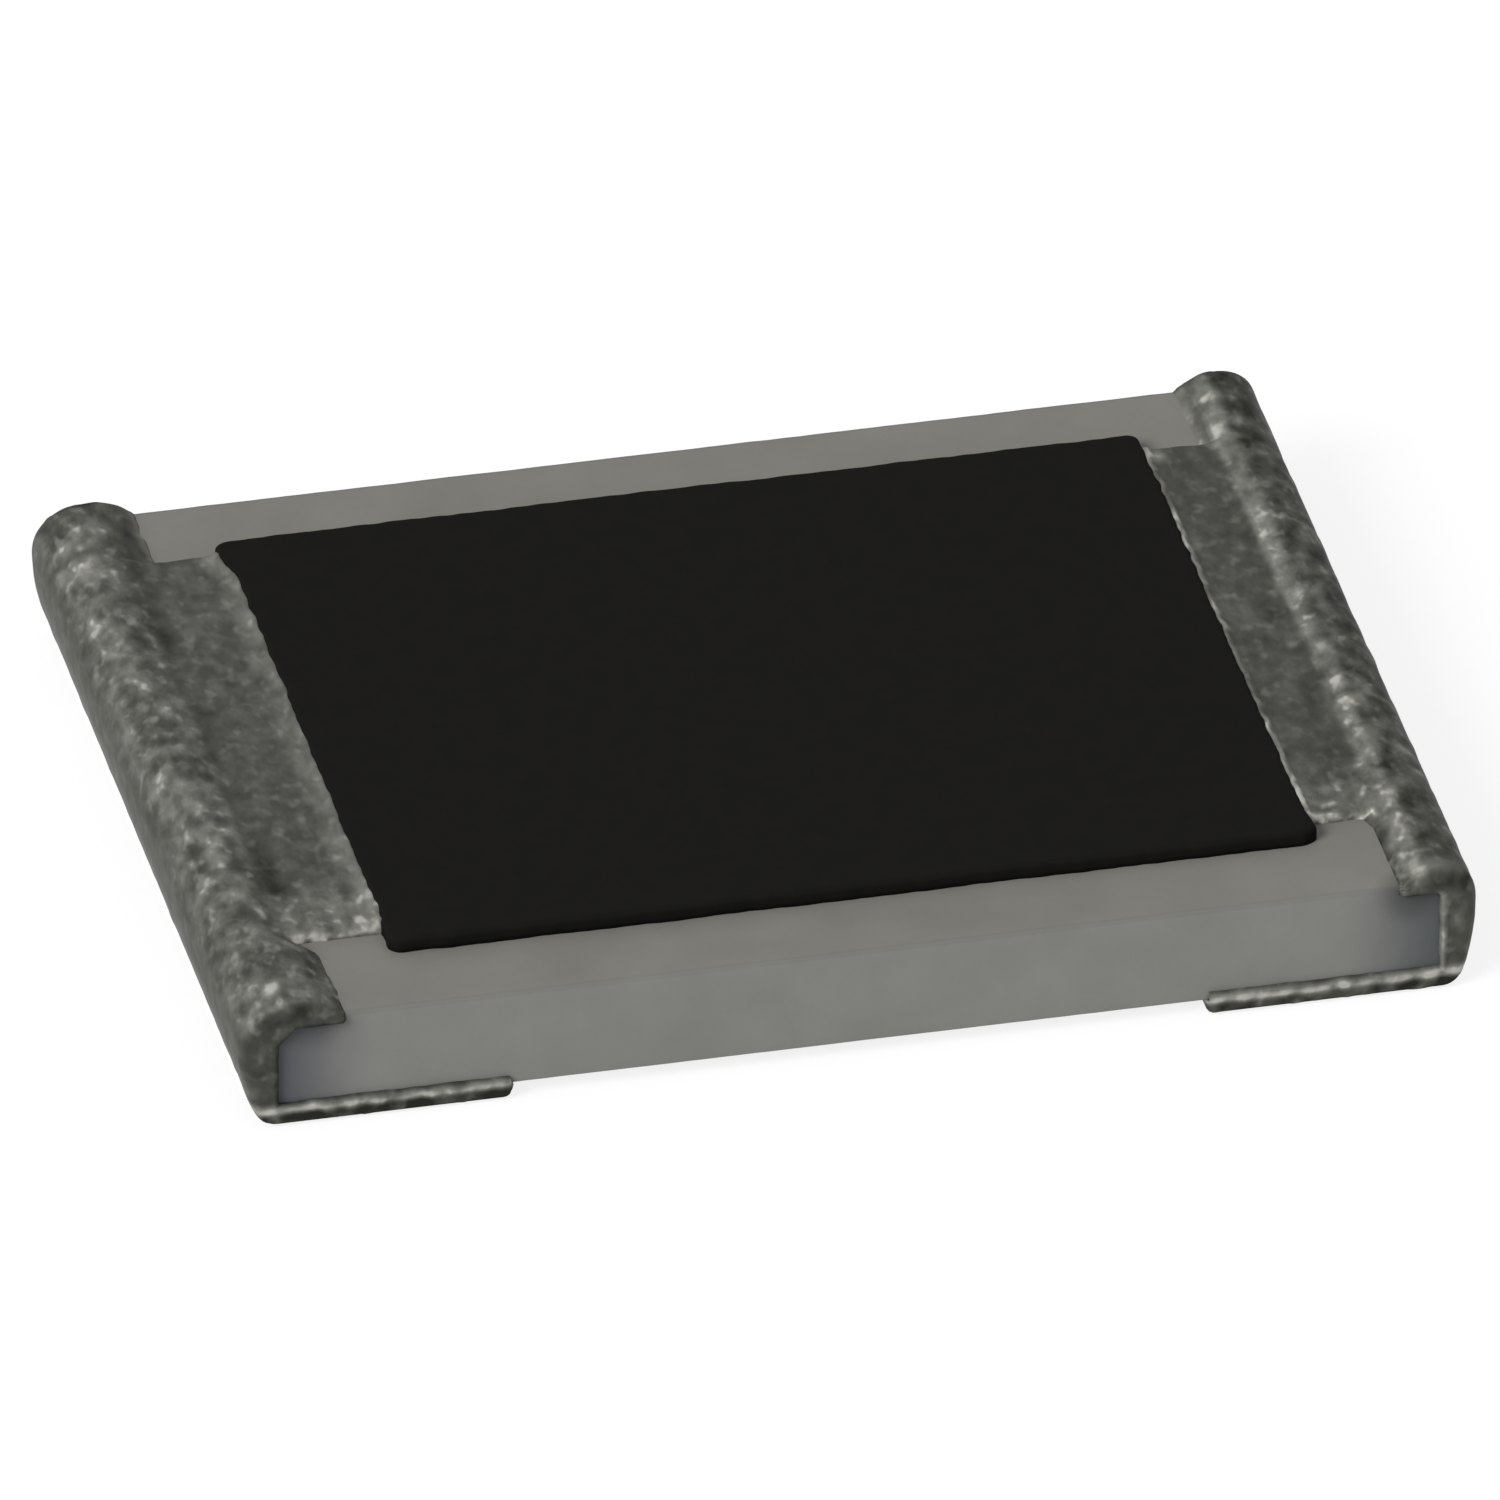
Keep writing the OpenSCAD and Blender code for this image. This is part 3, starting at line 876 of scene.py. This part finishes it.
class Tree:
    """A node tree with short ways to add nodes and links."""

    def __init__(self, tree):
        self.tree = tree

    def node(self, kind, **values):
        made = self.tree.nodes.new(kind)
        for key, value in values.items():
            setattr(made, key, value)
        return made

    def link(self, out, socket):
        self.tree.links.new(out, socket)

    def math(self, kind, a, b=None, **values):
        made = self.node("ShaderNodeMath", operation=kind, **values)
        for socket, value in zip(made.inputs, (a, b)):
            if isinstance(value, (int, float)):
                socket.default_value = value
            elif value is not None:
                self.link(value, socket)
        return made.outputs[0]

    def shader(self, kind, colour, strength=None):
        made = self.node(kind)
        made.inputs["Color"].default_value = colour
        if strength is not None:
            made.inputs["Strength"].default_value = strength
        return made.outputs[0]

    def join(self, kind, *outs):
        """A node of the kind, with one output linked to each of its sockets in turn."""
        made = self.node(kind)
        for out, socket in zip(outs, made.inputs):
            self.link(out, socket)
        return made.outputs[0]


class Looks(Tree):
    """One material's node tree, in object coordinates."""

    def __init__(self, name, roughness, metallic=0.0, specular=0.5):
        self.material = bpy.data.materials.new(name)
        self.material.use_nodes = True
        super().__init__(self.material.node_tree)
        self.bsdf = self.tree.nodes["Principled BSDF"]
        self.bsdf.inputs["Roughness"].default_value = roughness
        self.bsdf.inputs["Metallic"].default_value = metallic
        self.bsdf.inputs["Specular IOR Level"].default_value = specular
        self.coord = self.node("ShaderNodeTexCoord").outputs["Object"]

    def noise(self, size, detail):
        tex = self.node("ShaderNodeTexNoise")
        tex.inputs["Scale"].default_value = 1 / (size * MM)
        tex.inputs["Detail"].default_value = detail
        self.link(self.coord, tex.inputs["Vector"])
        return tex.outputs["Fac"]

    def stretch(self, factors):
        """Stretches the textures that are made after this by one factor for each axis."""
        moved = self.node("ShaderNodeMapping")
        moved.inputs["Scale"].default_value = factors
        self.link(self.coord, moved.inputs["Vector"])
        self.coord = moved.outputs["Vector"]

    def attribute(self, name):
        return self.node("ShaderNodeAttribute", attribute_name=name).outputs["Fac"]

    def far(self, spot):
        """Distance from a spot that is given in millimetres."""
        made = self.node("ShaderNodeVectorMath", operation="DISTANCE")
        self.link(self.coord, made.inputs[0])
        made.inputs[1].default_value = [c * MM for c in spot]
        return made.outputs["Value"]

    def axes(self):
        split = self.node("ShaderNodeSeparateXYZ")
        self.link(self.coord, split.inputs[0])
        return split.outputs

    def ease(self, value, span, base=0):
        """Smooth step from 0 to 1 as a length goes through a span that is counted from a base."""
        ranged = self.node("ShaderNodeMapRange", interpolation_type="SMOOTHSTEP")
        ranged.inputs["From Min"].default_value = (base + span[0]) * MM
        ranged.inputs["From Max"].default_value = (base + span[1]) * MM
        self.link(value, ranged.inputs["Value"])
        return ranged.outputs["Result"]

    def ramp(self, value, stops):
        made = self.node("ShaderNodeValToRGB")
        bar = made.color_ramp
        while len(bar.elements) < len(stops):
            bar.elements.new(0.5)
        for element, (place, levels) in zip(bar.elements, stops):
            element.position = place
            element.color = srgb(levels)
        self.link(value, made.inputs["Fac"])
        return made.outputs["Color"]

    def mix(self, factor, a, b):
        made = self.node("ShaderNodeMix", data_type="RGBA")
        self.link(factor, made.inputs["Factor"])
        for socket, colour in ((made.inputs[COLOUR_A], a), (made.inputs[COLOUR_B], b)):
            if isinstance(colour, tuple):
                socket.default_value = colour
            else:
                self.link(colour, socket)
        return made.outputs[COLOUR_OUT]

    def bump(self, height, depth):
        made = self.node("ShaderNodeBump")
        made.inputs["Distance"].default_value = depth * MM
        self.link(height, made.inputs["Height"])
        self.link(made.outputs["Normal"], self.bsdf.inputs["Normal"])

    def colour(self, out):
        self.link(out, self.bsdf.inputs["Base Color"])


# Materials
def tin_look():
    look = Looks("tin", roughness=0.5, metallic=0.3, specular=0.06)
    look.bsdf.inputs["Specular Tint"].default_value = TIN_TINT
    look.stretch(GRAIN_STRETCH)
    grit = look.attribute("grit")
    mottle = look.math("SUBTRACT", look.noise(size=0.04, detail=2), NOISE_MIDDLE)
    mottle = look.math("MULTIPLY", mottle, MOTTLE_SHARE)
    # Bright specks of grain, which also stand in for glints: partly painted highlights
    specks = look.ramp(look.noise(size=0.034, detail=1), SPECK_AND_GLINT_RAMP)
    grain = look.math("ADD", mottle, look.math("MULTIPLY", specks, SPECK_AND_GLINT_SHARE))
    value = look.math("ADD", look.attribute("tone"), look.math("MULTIPLY", grain, grit))
    look.colour(look.ramp(value, TIN_RAMP))
    look.bump(look.math("MULTIPLY", look.noise(size=0.03, detail=2), grit), depth=0.003)
    return look.material


def ceramic_look():
    look = Looks("ceramic", roughness=0.6, specular=0.15)
    x, y, z = look.axes()
    wide = look.math("ABSOLUTE", y)
    mottle = look.noise(size=0.25, detail=4)

    # Side faces, lighter than the top by painted light and greyer towards the ends by painted shade
    face = look.ramp(mottle, PLATE_SIDE_PAINTED_LIGHT_RAMP)
    for way, levels in PLATE_END_SHADE_COLOURS:
        near_end_shade = look.ease(look.math("MULTIPLY", x, way), PLATE_END_SHADE_SPAN, plate_high[0])
        face = look.mix(near_end_shade, face, srgb(levels))
    on_side = look.ease(wide, PLATE_SIDE_SPAN, plate_high[1])
    shade = look.mix(on_side, look.ramp(mottle, PLATE_TOP_RAMP), face)

    # Painted shade along the upper edges and painted shadow under the beads' ends
    across = look.ease(wide, PLATE_RIM_SHADE_ACROSS_SPAN, plate_high[1])
    rim = look.math("MULTIPLY", across, look.ease(z, PLATE_RIM_SHADE_UP_SPAN, top_z))
    shade = look.mix(look.math("MULTIPLY", rim, PLATE_RIM_SHADE_SHARE), shade, srgb(PLATE_RIM_SHADE_COLOUR))
    for spot in BEAD_SHADE_SPOTS:
        near = look.math("MULTIPLY", look.ease(look.far(spot), BEAD_SHADE_SPAN), BEAD_SHADE_SHARE)
        shade = look.mix(near, shade, srgb(BEAD_SHADE_COLOUR))
    look.colour(shade)
    look.bump(look.noise(size=0.02, detail=3), depth=0.0006)
    return look.material


def coat_look():
    look = Looks("overcoat", roughness=0.75, specular=0.02)
    look.colour(look.ramp(look.noise(size=0.06, detail=4), COAT_RAMP))
    look.bump(look.noise(size=0.03, detail=3), depth=0.0006)
    return look.material


def layer_look(name, levels, roughness, metallic, grain):
    look = Looks(name, roughness, metallic)
    look.colour(look.ramp(look.noise(grain, detail=3), tuple(zip(LAYER_PLACES, levels))))
    look.bump(look.noise(grain, detail=3), depth=0.0008)
    return look.material


def dress(node, material):
    """Gives a CAD mesh its material and leaves the mesh as it is."""
    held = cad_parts[node].data.materials
    held.clear()
    held.append(material)


# Pieces
tin_material = tin_look()
for word in WORDS:
    plating(end_sizes(word), tin_material)
overcoat(coat_look())
ceramic(ceramic_look())

# Sealed layers
silver = layer_look("silver_print", SILVER_LEVELS, roughness=0.45, metallic=0.8, grain=0.03)
nickel = layer_look("nickel", NICKEL_LEVELS, roughness=0.4, metallic=0.9, grain=0.02)
paste = layer_look("end_paste", PASTE_LEVELS, roughness=0.55, metallic=0.6, grain=0.03)
film = layer_look("resistive_film", FILM_LEVELS, roughness=0.6, metallic=0.0, grain=0.04)
glass = layer_look("inner_glass", GLASS_LEVELS, roughness=0.25, metallic=0.0, grain=0.08)
for word in WORDS:
    dress("top_electrode_" + word, silver)
    dress("bottom_electrode_" + word, silver)
    dress("end_electrode_" + word, paste)
    dress("nickel_barrier_" + word, nickel)
dress("resistive_element", film)
dress("inner_glass_coat", glass)


# Studio
def seen_directly(tree):
    """1 for rays from the camera, off glossy surfaces and through clear ones, and 0 for the rest."""
    rays = tree.node("ShaderNodeLightPath").outputs
    first = tree.math("ADD", rays["Is Camera Ray"], rays["Is Glossy Ray"])
    return tree.math("ADD", first, rays["Is Transmission Ray"], use_clamp=True)


def studio_world():
    """White where it is seen directly, and a weaker fill light for the rest."""
    world = bpy.data.worlds.new("studio")
    bpy.context.scene.world = world
    world.use_nodes = True
    nodes = world.node_tree.nodes
    nodes.remove(nodes["Background"])
    tree = Tree(world.node_tree)
    fill = tree.shader("ShaderNodeBackground", WHITE, FILL_STRENGTH)
    white = tree.shader("ShaderNodeBackground", WHITE, strength=1.0)
    both = tree.join("ShaderNodeMixShader", seen_directly(tree), fill, white)
    tree.link(both, nodes["World Output"].inputs["Surface"])


def floor_look():
    """White with the chip's shadow where it is seen directly, pale for the rest, and clear from below."""
    material = bpy.data.materials.new("floor")
    material.use_nodes = True
    nodes = material.node_tree.nodes
    nodes.remove(nodes["Principled BSDF"])
    tree = Tree(material.node_tree)
    plain = tree.shader("ShaderNodeBsdfDiffuse", FLOOR_COLOUR)
    shaded = tree.shader("ShaderNodeBsdfDiffuse", SHADOW_COLOUR)
    glow = tree.shader("ShaderNodeEmission", WHITE, FLOOR_GLOW)
    shown = tree.join("ShaderNodeAddShader", shaded, glow)
    above = tree.join("ShaderNodeMixShader", seen_directly(tree), plain, shown)
    below = tree.shader("ShaderNodeBsdfTransparent", WHITE)
    from_below = tree.node("ShaderNodeNewGeometry").outputs["Backfacing"]
    sided = tree.join("ShaderNodeMixShader", from_below, above, below)
    tree.link(sided, nodes["Material Output"].inputs["Surface"])
    return material


def studio_floor():
    """A pale floor, with an opening that the chip covers and that lets light reach the chip's underside."""
    ways = [(-1, -1), (1, -1), (1, 1), (-1, 1)]
    points = [(x * FLOOR_SIZE * MM, y * FLOOR_SIZE * MM, FLOOR_Z * MM) for x, y in ways]
    points += [(x * OPENING[0] * MM, y * OPENING[1] * MM, FLOOR_Z * MM) for x, y in ways]
    mesh = bpy.data.meshes.new("floor")
    mesh.from_pydata(points, [], [(k, (k + 1) % 4, (k + 1) % 4 + 4, k + 4) for k in range(4)])
    mesh.materials.append(floor_look())
    floor = bpy.data.objects.new("floor", mesh)
    bpy.context.scene.collection.objects.link(floor)


def direction(azimuth, elevation):
    a, e = math.radians(azimuth), math.radians(elevation)
    return Vector((math.sin(a) * math.cos(e), -math.cos(a) * math.cos(e), math.sin(e)))


def lamp(name, azimuth, elevation, distance, size, power):
    """A round lamp that shines on the chip."""
    data = bpy.data.lights.new(name, "AREA")
    data.shape = "DISK"
    data.size = size * MM
    data.energy = power
    made = bpy.data.objects.new(name, data)
    bpy.context.scene.collection.objects.link(made)
    back = direction(azimuth, elevation)
    made.location = back * (distance * MM)
    made.rotation_euler = back.to_track_quat("Z", "Y").to_euler()


def camera():
    data = bpy.data.cameras.new("camera")
    data.lens = CAMERA.lens
    data.sensor_width = CAMERA.sensor
    data.clip_start = CAMERA.near * MM
    data.clip_end = CAMERA.far * MM
    made = bpy.data.objects.new("camera", data)
    bpy.context.scene.collection.objects.link(made)
    back = direction(CAMERA.azimuth, CAMERA.elevation)
    right = Vector((0, 0, 1)).cross(back).normalized()
    up = back.cross(right)
    aim = Vector(CAMERA.aim) + CAMERA.shift_right * right + CAMERA.shift_up * up
    place = (aim + back * CAMERA.distance) * MM
    made.matrix_world = Matrix.Translation(place) @ Matrix((right, up, back)).transposed().to_4x4()
    bpy.context.scene.camera = made


studio_world()
studio_floor()
lamp("key", azimuth=-60, elevation=35, distance=700, size=400, power=4.4)
camera()
bpy.context.scene.view_settings.view_transform = "Standard"
